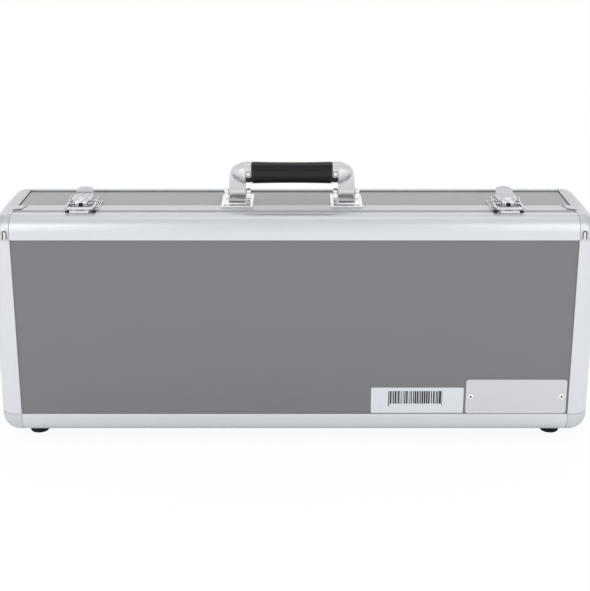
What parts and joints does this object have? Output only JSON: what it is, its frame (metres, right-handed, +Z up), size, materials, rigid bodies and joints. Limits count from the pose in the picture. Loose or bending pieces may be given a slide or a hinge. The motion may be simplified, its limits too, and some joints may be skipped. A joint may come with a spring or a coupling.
{
  "type": "guitar pedal case",
  "caption": "Shallow flight-style case for effect pedals, standing on rubber feet: grey panels in rounded silver edges, hinged front lid, two locking draw latches and a folding top handle",
  "frame": {"origin": "on the floor under the middle of the case, as it stands on its four feet", "axes": "+X to the right seen from the lid, +Y from the lid at the front to the back, +Z up, where the handle is"},
  "size_m": [0.68, 0.1586, 0.3208],
  "materials": {
    "panel_laminate": "grey laminate with a fine leathery grain",
    "edge_aluminium": "satin silver anodised extrusion",
    "corner_metal": "satin silver pressed corner",
    "rim_plastic": "grey moulded strip",
    "chrome_plate": "bright chrome plating",
    "black_grip": "smooth black moulding with a soft gloss",
    "foot_rubber": "matt black rubber",
    "foam": "open cell charcoal foam",
    "plain_steel": "zinc plated steel",
    "plate_metal": "satin anodised plate"
  },
  "bodies": {
    "base": {"base_back_corners": "corner_metal", "base_back_edge_bottom": "edge_aluminium", "base_back_edge_left": "edge_aluminium", "base_back_edge_right": "edge_aluminium", "base_back_edge_top": "edge_aluminium", "base_back_panel": "panel_laminate", "base_bottom_panel": "panel_laminate", "base_foam_back": "foam", "base_foam_walls": "foam", "base_hinge_leaves": "plain_steel", "base_left_panel": "panel_laminate", "base_right_panel": "panel_laminate", "base_rim_bottom": "edge_aluminium", "base_rim_corners": "corner_metal", "base_rim_left": "edge_aluminium", "base_rim_right": "edge_aluminium", "base_rim_top": "edge_aluminium", "base_rivets": "plain_steel", "base_side_edge_bottom_left": "edge_aluminium", "base_side_edge_bottom_right": "edge_aluminium", "base_side_edge_top_left": "edge_aluminium", "base_side_edge_top_right": "edge_aluminium", "base_top_panel": "panel_laminate", "foot_screws": "plain_steel", "handle_bracket_left": "chrome_plate", "handle_bracket_right": "chrome_plate", "latch_base_left": "chrome_plate", "latch_base_right": "chrome_plate", "pivot_pins": "plain_steel", "rubber_foot_front_left": "foot_rubber", "rubber_foot_front_right": "foot_rubber", "rubber_foot_rear_left": "foot_rubber", "rubber_foot_rear_right": "foot_rubber"},
    "lid": {"latch_catches": "chrome_plate", "lid_corner_bottom_left": "corner_metal", "lid_corner_bottom_right": "corner_metal", "lid_corner_top_left": "corner_metal", "lid_corner_top_right": "corner_metal", "lid_edge_bottom": "edge_aluminium", "lid_edge_left": "edge_aluminium", "lid_edge_right": "edge_aluminium", "lid_edge_top": "edge_aluminium", "lid_foam": "foam", "lid_hinge_leaves": "plain_steel", "lid_panel": "panel_laminate", "lid_rim": "rim_plastic", "lid_rivets": "plain_steel", "nameplate": "plate_metal", "nameplate_screws": "plain_steel"},
    "handle": {"handle_arm_left": "chrome_plate", "handle_arm_right": "chrome_plate", "handle_core": "plain_steel", "handle_grip": "black_grip"},
    "lever_left": {"latch_lever_left": "chrome_plate"},
    "lever_right": {"latch_lever_right": "chrome_plate"},
    "bail_left": {"latch_bail_left": "chrome_plate"},
    "bail_right": {"latch_bail_right": "chrome_plate"},
    "plug_left": {"lock_plug_left": "chrome_plate"},
    "plug_right": {"lock_plug_right": "chrome_plate"}
  },
  "joints": [
    {"name": "lid_hinge", "type": "hinge", "parent": "base", "child": "lid", "pos_m": [0, -0.0418, 0.0114], "axis": [1, 0, 0], "range_deg": [0, 100]},
    {"name": "handle_fold", "type": "hinge", "parent": "base", "child": "handle", "pos_m": [-0.003, -0.002, 0.286], "axis": [1, 0, 0], "range_deg": [-80, 80]},
    {"name": "lever_left_lift", "type": "hinge", "parent": "base", "child": "lever_left", "pos_m": [-0.24, -0.0374, 0.2806], "axis": [1, 0, 0], "range_deg": [0, 90]},
    {"name": "bail_left_swing", "type": "hinge", "parent": "lever_left", "child": "bail_left", "pos_m": [-0.24, -0.0304, 0.2788], "axis": [1, 0, 0], "range_deg": [-126, 0]},
    {"name": "lock_left_turn", "type": "hinge", "parent": "lever_left", "child": "plug_left", "pos_m": [-0.24, -0.036, 0.284], "axis": [0, 0, 1], "range_deg": [0, 90]},
    {"name": "lever_right_lift", "type": "hinge", "parent": "base", "child": "lever_right", "pos_m": [0.24, -0.0374, 0.2806], "axis": [1, 0, 0], "range_deg": [0, 90]},
    {"name": "bail_right_swing", "type": "hinge", "parent": "lever_right", "child": "bail_right", "pos_m": [0.24, -0.0304, 0.2788], "axis": [1, 0, 0], "range_deg": [-126, 0]},
    {"name": "lock_right_turn", "type": "hinge", "parent": "lever_right", "child": "plug_right", "pos_m": [0.24, -0.036, 0.284], "axis": [0, 0, 1], "range_deg": [0, 90]}
  ],
  "couplings": [
    {"joint": "bail_left_swing", "follows": "lever_left_lift", "ratio": -1.4},
    {"joint": "bail_right_swing", "follows": "lever_right_lift", "ratio": -1.4}
  ]
}
